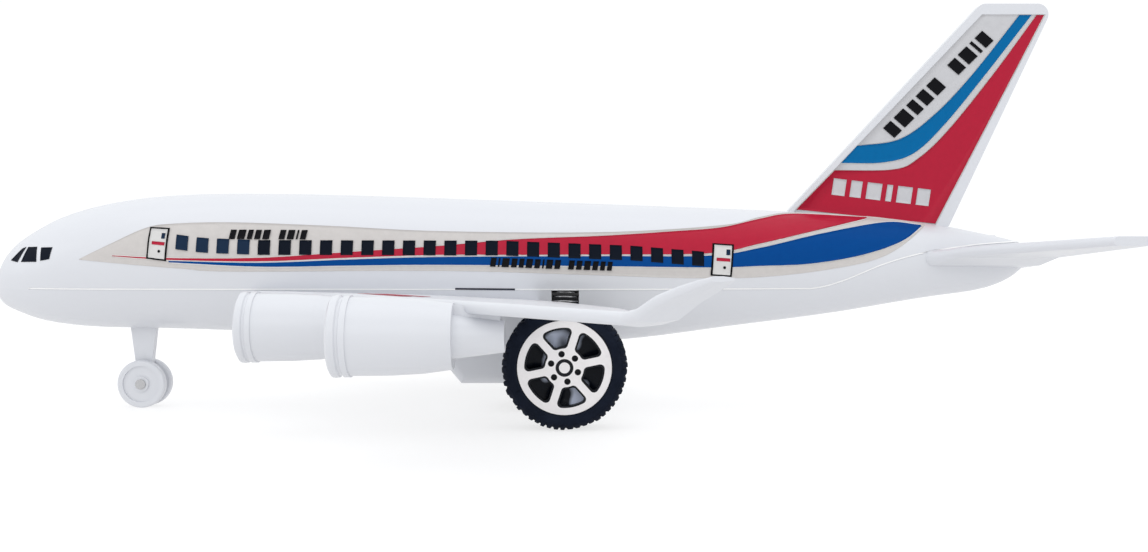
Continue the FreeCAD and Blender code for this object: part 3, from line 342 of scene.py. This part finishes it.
class Sheet:
    """Thin printed layers gathered into one sticker that faces outwards."""

    def __init__(self, project, outwards):
        self.project = project
        self.outwards = outwards
        self.points = []
        self.faces = []
        self.indices = []
        self.materials = []

    def band(self, first, second, across, lift, item, thick=0.05):
        """A closed thin slab between two sampled edges, laid on the surface."""
        if item not in self.materials:
            self.materials.append(item)
        slot = self.materials.index(item)
        rows = len(first)
        start = len(self.points)
        spots = [first[row].lerp(second[row], column / across)
                 for row in range(rows) for column in range(across + 1)]
        laid = [self.project(spot) for spot in spots]
        for height in (lift, lift - thick):
            self.points += [point + normal * height for point, normal in laid]
        width = across + 1
        under = start + rows * width
        made = []
        for row in range(rows - 1):
            for column in range(across):
                corner = start + row * width + column
                top = [corner, corner + 1, corner + width + 1, corner + width]
                made.append(top)
                made.append([index + rows * width for index in reversed(top)])
        rim = [row * width for row in range(rows)]
        rim += [(rows - 1) * width + column for column in range(1, width)]
        rim += [row * width + width - 1 for row in range(rows - 2, -1, -1)]
        rim += list(range(width - 2, 0, -1))
        for here, there in zip(rim, rim[1:] + rim[:1]):
            made.append([start + there, start + here, under + here, under + there])
        sample = made[0]
        a, b, c = (self.points[index] for index in sample[:3])
        outward = (b - a).cross(c - b)
        if outward.dot(self.outwards) < 0:
            made = [face[::-1] for face in made]
        self.faces += made
        self.indices += [slot] * len(made)

    def block(self, corners, lift, item, cell=0.9):
        """A four-cornered patch: two corners of one edge, then two of the other."""
        corners = [Vector(corner) for corner in corners]
        rows = max(2, math.ceil((corners[1] - corners[0]).length / cell))
        across = max(2, math.ceil((corners[2] - corners[0]).length / cell))
        self.band(resample(corners[:2], rows + 1), resample(corners[2:], rows + 1), across, lift, item)

    def outlined(self, first, second, across, lift, item, border, width):
        """A band over a wider one of another ink, which shows along both of its edges."""
        outer = [spot + (spot - other).normalized() * width if spot != other else spot
                 for spot, other in zip(first, second)]
        under = [spot + (spot - other).normalized() * width if spot != other else spot
                 for spot, other in zip(second, first)]
        self.band(outer, under, across, lift, border)
        self.band(first, second, across, lift + LAYER, item)

    def blocks(self, start, end, up, widths, lift, item):
        """A row of plain slanted blocks. A negative width is a gap, and the row overruns its end by
        twice that gap."""
        trim = 0.14
        step = (Vector(end) - Vector(start)) / sum(widths)
        across = 0.0
        for width in widths:
            if width > 0:
                low = Vector(start) + step * (across + trim)
                high = Vector(start) + step * (across + width - trim)
                self.block([low + Vector(up), high + Vector(up), low, high], lift, item)
            across += abs(width)

    def piece(self, name):
        """The finished sticker."""
        return make_piece(name, self.points, self.faces, self.materials, self.indices)


# --- fuselage stickers -------------------------------------------------------------------------------

FIELD_TOP = ((30.6, 44.0), (40.0, 48.5), (49.3, 52.8), (56.7, 54.0), (73.9, 54.4), (102.0, 53.4),
             (133.5, 51.9), (180.0, 51.6), (214.3, 53.6), (226.0, 56.0), (236.5, 57.4),
             (258.5, 56.4), (275.5, 54.0))
FIELD_BOTTOM = ((30.6, 43.8), (46.3, 42.4), (60.6, 41.3), (74.8, 40.5), (133.8, 40.7), (174.3, 39.6),
                (203.3, 38.6), (225.0, 38.8), (246.6, 41.2), (262.0, 45.0), (275.5, 53.6))
RED_TOP = ((40.5, 45.0), (56.8, 44.3), (82.8, 44.4), (108.0, 46.0), (133.7, 47.7), (155.0, 49.5),
           (180.0, 50.5), (200.6, 51.8), (214.3, 52.9), (226.0, 55.4), (236.5, 56.9), (258.2, 55.9))
RED_BOTTOM = ((40.5, 44.8), (56.8, 43.8), (82.8, 43.4), (108.0, 44.4), (133.7, 45.2), (155.0, 45.2),
              (180.0, 45.3), (210.3, 45.6), (225.1, 48.3), (243.5, 52.4), (258.2, 55.6))
BLUE_TOP = ((56.8, 43.5), (82.8, 43.0), (108.0, 43.9), (133.7, 44.6), (180.0, 44.8), (210.2, 44.9),
            (225.1, 47.1), (243.6, 51.2), (263.2, 54.4), (274.0, 53.6))
BLUE_BOTTOM = ((56.8, 43.1), (82.8, 41.9), (108.0, 42.2), (133.8, 42.4), (180.0, 42.0), (210.2, 41.6),
               (225.0, 42.0), (239.4, 42.6), (254.0, 44.9), (266.1, 48.6), (274.0, 53.2))
WINDOW_COUNT = 26
TINTED = 4
WINDOW_FIRST = 58.7
WINDOW_LAST = 205.3
WINDOW_WIDTH = 3.45
WINDOW_TOPS = ((58.5, 50.9), (66.0, 49.9), (82.5, 49.3), (150.6, 49.1), (187.7, 47.7), (208.8, 46.0))
WINDOW_HEIGHT = 4.1
ROWS = 190
LAYER = 0.08

# Plain blocks that stand where the toy has words: the width of each, and a gap where it is negative.
TITLE_BLOCKS = (1, 1.2, 0.9, 1, 1.1, -0.9, 1, 1.1, 0.5, 1)
LINE_BLOCKS = (1, 0.5, 1.2, 1, 0.9, 1.1, 1, 0.5, 1.1, 1, -0.8, 1, 1, 1.1, 1, 0.9, 0.9)
FIN_BLOCKS = (1, 0.9, 1.1, 0.6, 1.1, 1)


def height_at(curve, aft):
    """The height of a curve at a distance behind the nose."""
    for (a, low), (b, high) in zip(curve, curve[1:]):
        if a <= aft <= b:
            return low + (high - low) * (aft - a) / (b - a)
    return curve[-1][1]


def door(sheet, front_top, back_top, back_low, front_low, lift):
    """A door: a dark frame, a light leaf, a small window, a red bar and a dot. The places of what is
    on it are shares of its width and height."""
    corners = [Vector(corner) for corner in (front_top, back_top, back_low, front_low)]

    def inside(across, up):
        top = corners[0].lerp(corners[1], across)
        low = corners[3].lerp(corners[2], across)
        return low.lerp(top, up)

    def patch(left, right, bottom, top, height, item):
        sheet.block([inside(left, top), inside(right, top), inside(left, bottom),
                     inside(right, bottom)], height, item)

    sheet.block([corners[0], corners[1], corners[3], corners[2]], lift, INK)
    patch(0.09, 0.91, 0.05, 0.95, lift + LAYER, LEAF)
    patch(0.66, 0.84, 0.66, 0.83, lift + 2 * LAYER, NAVY)
    patch(0.22, 0.86, 0.46, 0.56, lift + 2 * LAYER, RED)
    centre = inside(0.62, 0.27)
    dot = 0.42
    turns = [math.pi * step / 8 for step in range(9)]
    ring = [centre + Vector((math.cos(turn), math.sin(turn))) * dot for turn in turns]
    other = [centre + Vector((math.cos(turn), -math.sin(turn))) * dot for turn in turns]
    sheet.band(ring, other, 2, lift + 2 * LAYER, INK)


def body_sticker(side_name):
    """The whole side sticker: beige field, red and blue bands, windows and two doors."""
    side = SIDES[side_name]
    sheet = Sheet(on_hull(side), Vector((0, side, 0)))
    base = 0.10
    marks = base + 3 * LAYER
    sheet.band(smooth_curve(FIELD_TOP, ROWS), smooth_curve(FIELD_BOTTOM, ROWS), 16, base, FIELD, 0.09)
    sheet.outlined(smooth_curve(RED_TOP, ROWS), smooth_curve(RED_BOTTOM, ROWS), 10,
                   base + LAYER, RED, PAPER, 0.25)
    sheet.outlined(smooth_curve(BLUE_TOP, ROWS), smooth_curve(BLUE_BOTTOM, ROWS), 10,
                   base + LAYER, BLUE, PAPER, 0.3)
    for number in range(WINDOW_COUNT):
        start = WINDOW_FIRST + (WINDOW_LAST - WINDOW_FIRST) * number / (WINDOW_COUNT - 1)
        end = start + WINDOW_WIDTH
        top_start = height_at(WINDOW_TOPS, start)
        top_end = height_at(WINDOW_TOPS, end)
        sheet.block([(start, top_start), (end, top_end), (start, top_start - WINDOW_HEIGHT),
                     (end, top_end - WINDOW_HEIGHT)], marks, NAVY if number < TINTED else DARK)
    door(sheet, (50.7, 53.0), (56.5, 52.7), (56.1, 43.4), (50.4, 44.1), marks)
    door(sheet, (211.3, 48.4), (217.5, 48.0), (216.7, 38.9), (210.6, 39.3), marks)
    sheet.blocks((73.4, 49.6), (91.7, 49.5), (0.4, 2.6), TITLE_BLOCKS, marks + LAYER, INK)
    sheet.blocks((147.6, 41.9), (179.1, 40.8), (0.4, 2.5), LINE_BLOCKS, marks + LAYER, INK)
    return sheet.piece("body_sticker_" + side_name)


PANES = (
    ((11.0, 46.9), (12.4, 47.3), (7.4, 43.4), (10.2, 42.9)),
    ((13.2, 47.3), (16.5, 47.4), (11.5, 43.0), (17.0, 43.1)),
    ((18.0, 47.2), (21.8, 47.3), (18.3, 43.4), (21.2, 43.9)),
)


def cockpit_panes(side_name):
    """Three dark panes on one side of the nose."""
    side = SIDES[side_name]
    sheet = Sheet(on_hull(side), Vector((0, side, 0)))
    for pane in PANES:
        sheet.block(pane, 0.12, DARK, 0.6)
    return sheet.piece("cockpit_panes_" + side_name)


# --- fin stickers ------------------------------------------------------------------------------------

def fin_sticker(side_name):
    """A light grey field, a blue swoosh and a red one that fills the fin's root, with rows of blocks."""
    side = SIDES[side_name]
    sheet = Sheet(on_fin(side), Vector((0, side, 0)))
    count = 60
    field = 0.08
    colour = field + LAYER
    words = colour + 2 * LAYER
    left = resample([(292.6, 116.1), (240.0, 60.6), (236.4, 57.0)], count)
    right = resample([(311.4, 116.1), (279.6, 53.8)], count)
    sheet.band(left, right, 10, field, FIN_FIELD, field)
    blue_left = smooth_curve([(303.6, 115.9), (289.4, 97.8), (278.4, 86.2), (268.3, 79.2),
                              (255.9, 77.3)], count)
    blue_right = smooth_curve([(307.2, 115.9), (293.0, 97.4), (281.6, 83.4), (272.9, 75.2),
                               (263.9, 72.4), (251.2, 72.2)], count)
    sheet.outlined(blue_left, blue_right, 6, colour, FIN_BLUE, PAPER, 0.3)
    red_left = smooth_curve([(308.7, 115.9), (296.2, 98.6), (283.0, 82.0), (274.2, 73.6),
                             (266.9, 70.3), (249.3, 70.0)], count)
    red_left_low = resample([red_left[-1], Vector((238.0, 58.4))], 14)[1:]
    red_right = resample([(310.9, 115.9), (280.3, 56.0)], count)
    red_right_low = resample([red_right[-1], Vector((279.4, 54.2))], 14)[1:]
    sheet.outlined(red_left + red_left_low, red_right + red_right_low, 8, colour, RED, PAPER, 0.3)
    sheet.blocks((266.5, 79.2), (290.9, 103.3), (-3.4, 2.9), TITLE_BLOCKS, words, INK)
    sheet.blocks((247.6, 62.9), (278.0, 59.3), (0.7, 4.9), FIN_BLOCKS, words, FIN_FIELD)
    return sheet.piece("fin_sticker_" + side_name)


def wing_sticker(side_name):
    """Two slanted red stripes on the wing's top, from above the inner engine outwards."""
    sheet = Sheet(on_wing(SIDES[side_name]), Vector((0, 0, 1)))
    for shift in (0.0, 4.5):
        sheet.block([(116.0 + shift, 50.0), (130.0 + shift, 68.0), (118.5 + shift, 50.0),
                     (132.5 + shift, 68.0)], 0.1, RED)
    return sheet.piece("wing_sticker_" + side_name)


SEAM = ((14.0, 35.2), (60.0, 35.2), (150.0, 35.2), (230.0, 35.2), (241.0, 35.35), (249.2, 37.4),
        (261.5, 42.3), (273.7, 45.5), (289.2, 47.7), (305.5, 48.7))
GAP_START = 138.0
GAP_END = 155.0


def seam(side_name):
    """The shells' joint: a raised lip with a painted highlight over a line of painted shade, and one dark
    gap.
    """
    side = SIDES[side_name]
    sheet = Sheet(on_hull(side), Vector((0, side, 0)))
    line = smooth_curve(SEAM, 200)
    low = Vector((0, 0.05))
    high = Vector((0, 0.42))
    # The raised lip, painted bright as a highlight.
    sheet.band([spot + high for spot in line], [spot + low for spot in line], 2, 0.14, PAINTED_HIGHLIGHT_LIP, 0.14)
    # Under the lip, a line of painted shade.
    sheet.band([spot + low for spot in line], [spot - low for spot in line], 2, 0.06, SHADE)
    # One open stretch of the joint, painted as a dark band of shade.
    open_top = resample([(GAP_START, 35.85), (GAP_END, 35.7)], 24)
    open_low = resample([(GAP_START, 35.35), (GAP_END, 35.2)], 24)
    sheet.band(open_top, open_low, 2, 0.16, PAINTED_GAP_SHADE)
    return sheet.piece("seam_" + side_name)


for side_name in SIDES:
    body_sticker(side_name)
    cockpit_panes(side_name)
    fin_sticker(side_name)
    wing_sticker(side_name)
    seam(side_name)


# --- engine fans and motor bracket -------------------------------------------------------------------

def engine_fan(name):
    """Twisted fan blades in an intake, round its spinner."""
    low, high = box_mm("intake_ring_" + name)
    centre_y = (low.y + high.y) / 2
    centre_z = (low.z + high.z) / 2
    reach = (high.z - low.z) / 2
    blades = 18
    spans = 6
    spinner = 2.0
    tip_gap = 2.1
    behind_lip = 4.5
    half_thick = 0.14
    points = []
    faces = []
    for blade in range(blades):
        start = 2 * math.pi * blade / blades
        base = len(points)
        for step in range(spans + 1):
            part = step / spans
            radius = spinner + (reach - tip_gap - spinner) * part
            pitch = math.radians(22 + 34 * part)
            chord = 1.5 - 0.3 * part
            for edge in (-0.5, 0.5):
                for thick in (-half_thick, half_thick):
                    sweep = start + edge * chord * math.sin(pitch) / radius
                    along = high.x - behind_lip + edge * chord * math.cos(pitch) + thick
                    points.append((along, centre_y + radius * math.cos(sweep),
                                   centre_z + radius * math.sin(sweep)))
        for step in range(spans):
            here = base + 4 * step
            there = here + 4
            for a, b in ((0, 1), (1, 3), (3, 2), (2, 0)):
                faces.append([here + a, here + b, there + b, there + a])
        tip = base + 4 * spans
        faces.append([base, base + 2, base + 3, base + 1])
        faces.append([tip, tip + 1, tip + 3, tip + 2])
    return make_piece("engine_fan_" + name, points, faces, [WHITE], smooth=False)


for name in ("inner_left", "inner_right", "outer_left", "outer_right"):
    engine_fan(name)


def rod_between(points, faces, start, end, radius):
    """Add a closed rod to a growing mesh."""
    sides = 10
    start = Vector(start)
    end = Vector(end)
    along = (end - start).normalized()
    first = along.orthogonal().normalized()
    second = along.cross(first)
    base = len(points)
    for spot in (start, end):
        for step in range(sides):
            turn = 2 * math.pi * step / sides
            points.append(spot + radius * (math.cos(turn) * first + math.sin(turn) * second))
    for step in range(sides):
        after = (step + 1) % sides
        faces.append([base + step, base + after, base + sides + after, base + sides + step])
    faces.append([base + step for step in range(sides - 1, -1, -1)])
    faces.append([base + sides + step for step in range(sides)])


def motor_bracket(side_name):
    """The bracket seen through the axle slot: a dark block crossed by steel spring wires."""
    side = SIDES[side_name]
    half_length = 3.9
    corner = 0.8
    front = AXLE_X + half_length
    rear = AXLE_X - half_length
    low = HULL_HIGH.z - 32.4
    high = HULL_HIGH.z - 27.4
    inner = side * 13.2
    outer = side * 16.6
    outline = [(rear, low + corner), (rear + corner, low), (front - corner, low),
               (front, low + corner), (front, high - corner), (front - corner, high),
               (rear + corner, high), (rear, high - corner)]
    count = len(outline)
    points = [(along, across, up) for across in (inner, outer) for along, up in outline]
    faces = [[index, (index + 1) % count, count + (index + 1) % count, count + index]
             for index in range(count)]
    faces += [list(range(count - 1, -1, -1)), list(range(count, 2 * count))]
    if side < 0:
        faces = [face[::-1] for face in faces]
    make_piece("motor_bracket_" + side_name, points, faces, [BLACK], smooth=False)
    points = []
    faces = []
    for up in (low + 1.2, low + 2.5, low + 3.8):
        rod_between(points, faces, (rear + 0.3, outer, up), (front - 0.3, outer, up + 0.15), 0.26)
    make_piece("spring_wires_" + side_name, points, faces, [STEEL])


for side_name in SIDES:
    motor_bracket(side_name)


# --- wheels ------------------------------------------------------------------------------------------

LUGS = 54
LUG_STEPS = 6
LUG_DEPTH = 0.65
LUG_SLANT = 0.1
SPOKES = 6
HALF_GAP = math.pi / SPOKES
SPOKE_TURN = math.radians(48)


def tyre_mesh(side_name):
    """A tyre with bevelled shoulders and fine tread lugs, each a little different."""
    low, high = box_mm("tyre_" + side_name)
    middle = (low.y + high.y) / 2
    half = (high.y - low.y) / 2
    top = TYRE_RADIUS
    profile = [(half - 0.6, RIM_RADIUS, 0.0), (half, RIM_RADIUS + 0.5, 0.0),
               (half, RIM_RADIUS + 1.5, 0.0), (half - 0.1, top - 2.0, 0.0), (half - 0.3, top - 1.5, 0.0),
               (half - 0.25, top - 1.35, 0.6), (half - 0.9, top - 0.4, 1.0), (half - 1.5, top, 1.0),
               (half * 0.45, top, 1.0), (half * 0.4, top - 0.05, 1.0), (0.45, top, 1.0),
               (0.3, top - LUG_DEPTH, 0.0)]
    rows = profile + [(-across, radius, share) for across, radius, share in reversed(profile)]
    around = LUGS * LUG_STEPS
    chance = random.Random(11)
    drops = [[chance.uniform(0.0, 0.32) for lug in range(LUGS)] for half_tread in range(2)]
    shifts = [[chance.uniform(-1.5, 1.5) for lug in range(LUGS)] for half_tread in range(2)]
    wide = [[chance.choice((1, 2, 2)) for lug in range(LUGS)] for half_tread in range(2)]
    points = []
    for step in range(around):
        lug = step // LUG_STEPS
        phase = step % LUG_STEPS
        for across, radius, share in rows:
            half_tread = 0 if across > 0 else 1
            cut_at = (phase + (LUG_STEPS // 2 if half_tread else 0)) % LUG_STEPS
            grooved = cut_at < wide[half_tread][lug]
            depth = LUG_DEPTH if grooved else drops[half_tread][lug]
            slip = shifts[half_tread][lug] * 0.6 + LUG_SLANT * abs(across)
            turn = 2 * math.pi * (step + slip) / around
            size = radius - depth * share
            points.append((AXLE_X + size * math.cos(turn), middle + across,
                           AXLE_Z + size * math.sin(turn)))
    width = len(rows)
    faces = []
    for step in range(around):
        here = step * width
        there = (step + 1) % around * width
        for row in range(width):
            beside = (row + 1) % width
            faces.append([here + row, here + beside, there + beside, there + row])
    made = make_piece("tread_tyre_" + side_name, points, faces, [TYRE], body="main_axle",
                      smooth=False)
    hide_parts("tyre_" + side_name)


def disc_outline(radius, count, centre=(0, 0)):
    """A circle as a list of points."""
    return [Vector((centre[0] + radius * math.cos(2 * math.pi * step / count),
                    centre[1] + radius * math.sin(2 * math.pi * step / count)))
            for step in range(count)]


def spoke_window(turn, inner, outer, spoke, corner):
    """The opening between two spokes, with round corners and its middle at an angle."""
    gap = spoke / 2 + corner
    high = HALF_GAP - math.asin(gap / (outer - corner))
    low = HALF_GAP - math.asin(gap / (inner + corner))
    upright = math.radians(120)
    arcs = [(0, outer, 0, high), (outer - corner, corner, high, upright),
            (inner + corner, corner, upright, math.pi + low), (0, inner, low, 0)]
    tilts = (0, high, low, 0)
    outline = []
    for (reach, radius, start, end), tilt in zip(arcs, tilts):
        centre = Vector((reach * math.cos(tilt), reach * math.sin(tilt)))
        for step in range(7):
            angle = start + (end - start) * step / 6
            outline.append(centre + Vector((radius * math.cos(angle), radius * math.sin(angle))))
    mirrored = [Vector((spot.x, -spot.y)) for spot in reversed(outline[1:-1])]
    spin = Matrix.Rotation(turn, 2)
    return [spin @ spot for spot in outline + mirrored]


def foil_face(side_name):
    """The silver face: a foil cut out at the openings, the lug holes and a ring round the hub."""
    side = SIDES[side_name]
    low, high = box_mm("wheel_rim_" + side_name)
    face = high.y if side > 0 else -low.y
    curve = bpy.data.curves.new("rim_foil_" + side_name, "CURVE")
    curve.dimensions = "2D"
    curve.fill_mode = "BOTH"
    curve.extrude = 0.03 * MM
    lug_reach = 3.7
    hub_outer = 2.35
    hub_inner = 1.45
    outlines = [disc_outline(RIM_RADIUS - 0.15, 96)]
    for number in range(SPOKES):
        turn = SPOKE_TURN + HALF_GAP * (1 + 2 * number)
        outlines.append(spoke_window(turn, inner=5.1, outer=10.6, spoke=2.0, corner=1.2))
        centre = (lug_reach * math.cos(turn), lug_reach * math.sin(turn))
        outlines.append(disc_outline(0.85, 20, centre))
    outlines.append(disc_outline(hub_outer, 40))
    outlines.append(disc_outline(hub_inner, 32))
    for outline in outlines:
        spline = curve.splines.new("POLY")
        spline.points.add(len(outline) - 1)
        for point, spot in zip(spline.points, outline):
            point.co = (spot.x * MM, spot.y * MM, 0, 1)
        spline.use_cyclic_u = True
    holder = bpy.data.objects.new("rim_foil_maker", curve)
    bpy.context.scene.collection.objects.link(holder)
    bpy.context.view_layer.update()
    mesh = bpy.data.meshes.new_from_object(holder.evaluated_get(bpy.context.evaluated_depsgraph_get()))
    bpy.data.objects.remove(holder)
    turn_up = Matrix.Rotation(math.radians(90), 4, "X")
    mesh.transform(Matrix.Translation(Vector((AXLE_X, side * (face + 0.04), AXLE_Z)) * MM) @ turn_up)
    mesh.name = "rim_foil_" + side_name
    mesh.materials.clear()
    mesh.materials.append(FOIL)
    made = bpy.data.objects.new("rim_foil_" + side_name, mesh)
    bpy.context.scene.collection.objects.link(made)
    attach(made, "main_axle")


def painted_shade_wheel_dish(side_name):
    """The dark glossy dish, painted shade between the spokes, a little deeper behind each of them."""
    side = SIDES[side_name]
    low, high = box_mm("wheel_rim_" + side_name)
    face = high.y if side > 0 else -low.y
    around = 72
    steps = ((3.2, 2.3), (5.0, 2.7), (8.2, 3.0), (10.2, 2.5), (10.8, 2.2))  # radius, depth
    points = []
    for radius, sunk in steps:
        for step in range(around):
            turn = 2 * math.pi * step / around
            wave = 0.2 * (1 + math.cos(SPOKES * (turn - SPOKE_TURN))) if 4 < radius < 10 else 0
            points.append((AXLE_X + radius * math.cos(turn), side * (face - sunk - wave),
                           AXLE_Z + radius * math.sin(turn)))
    thick = Vector((0, side * 0.25, 0))
    points += [Vector(point) - thick for point in points]
    under = len(steps) * around
    faces = []
    for ring in range(len(steps) - 1):
        for step in range(around):
            here = ring * around + step
            beside = ring * around + (step + 1) % around
            top = [here, beside, beside + around, here + around]
            faces.append(top)
            faces.append([index + under for index in reversed(top)])
    last = (len(steps) - 1) * around
    for step in range(around):
        beside = (step + 1) % around
        faces.append([beside, step, under + step, under + beside])
        faces.append([last + step, last + beside, under + last + beside, under + last + step])
    if side > 0:
        faces = [face[::-1] for face in faces]
    return make_piece("painted_shade_wheel_dish_" + side_name, points, faces, [DISH_SHADE_AND_GLINTS], body="main_axle")


for side_name in SIDES:
    tyre_mesh(side_name)
    foil_face(side_name)
    painted_shade_wheel_dish(side_name)


# --- studio ------------------------------------------------------------------------------------------

def area_light(name, place, target, size, power):
    """A soft box aimed at a point, all in millimetres."""
    lamp = bpy.data.lights.new(name, "AREA")
    lamp.shape = "RECTANGLE"
    lamp.size = size[0] * MM
    lamp.size_y = size[1] * MM
    lamp.energy = power
    made = bpy.data.objects.new(name, lamp)
    made.location = Vector(place) * MM
    made.rotation_euler = (Vector(target) - Vector(place)).to_track_quat("-Z", "Y").to_euler()
    bpy.context.scene.collection.objects.link(made)


def studio():
    """A pale floor, a white surround and soft boxes."""
    reach = 3000 * MM
    mesh = bpy.data.meshes.new("floor")
    corners = [(-reach, -reach, 0), (reach, -reach, 0), (reach, reach, 0), (-reach, reach, 0)]
    mesh.from_pydata(corners, [], [(0, 1, 2, 3)])
    floor = bpy.data.objects.new("floor", mesh)
    bpy.context.scene.collection.objects.link(floor)
    made, tree, shader = new_material("floor_white", (0.30, 0.30, 0.303), 0.7, specular=0.1)
    # The floor and the surround look brighter to the camera than they light the toy.
    shader.inputs["Emission Color"].default_value = (1, 1, 1, 1)
    seen = tree.nodes.new("ShaderNodeLightPath").outputs["Is Camera Ray"]
    tree.links.new(spread(tree, seen, 0.57, 0.72, 0, 1), shader.inputs["Emission Strength"])
    mesh.materials.append(made)
    world = bpy.data.worlds.new("studio")
    world.use_nodes = True
    tree = world.node_tree
    place = tree.nodes.new("ShaderNodeTexCoord")
    upright = tree.nodes.new("ShaderNodeSeparateXYZ")
    tree.links.new(place.outputs["Generated"], upright.inputs["Vector"])
    glow = spread(tree, upright.outputs["Z"], 0.89, 1.11, 0.0, 0.8)
    seen = tree.nodes.new("ShaderNodeLightPath").outputs["Is Camera Ray"]
    strongest = tree.nodes.new("ShaderNodeMath")
    strongest.operation = "MAXIMUM"
    tree.links.new(glow, strongest.inputs[0])
    tree.links.new(spread(tree, seen, 0.0, 1.05, 0, 1), strongest.inputs[1])
    backdrop = tree.nodes["Background"]
    backdrop.inputs["Color"].default_value = (0.97, 0.985, 1.0, 1)
    tree.links.new(strongest.outputs["Value"], backdrop.inputs["Strength"])
    bpy.context.scene.world = world
    area_light("top_box", (0, 150, 900), (0, 0, 40), (1200, 700), 1.0)
    area_light("front_box", (150, 1100, 500), (0, 0, 40), (1000, 500), 0.8)
    area_light("nose_box", (900, 300, 350), (60, 0, 40), (500, 500), 0.4)


def camera():
    """A nearly level look at the left side, from the cabin's height."""
    place = (-12.5, 350, 52.4)
    below_level = 2.16
    lens = bpy.data.cameras.new("camera")
    lens.lens = 36.6
    lens.sensor_width = 36
    lens.clip_start = 0.01
    made = bpy.data.objects.new("camera", lens)
    made.location = Vector(place) * MM
    made.rotation_euler = (math.radians(90 - below_level), 0, math.radians(180))
    bpy.context.scene.collection.objects.link(made)
    bpy.context.scene.camera = made


studio()
camera()
bpy.context.scene.view_settings.view_transform = "Standard"
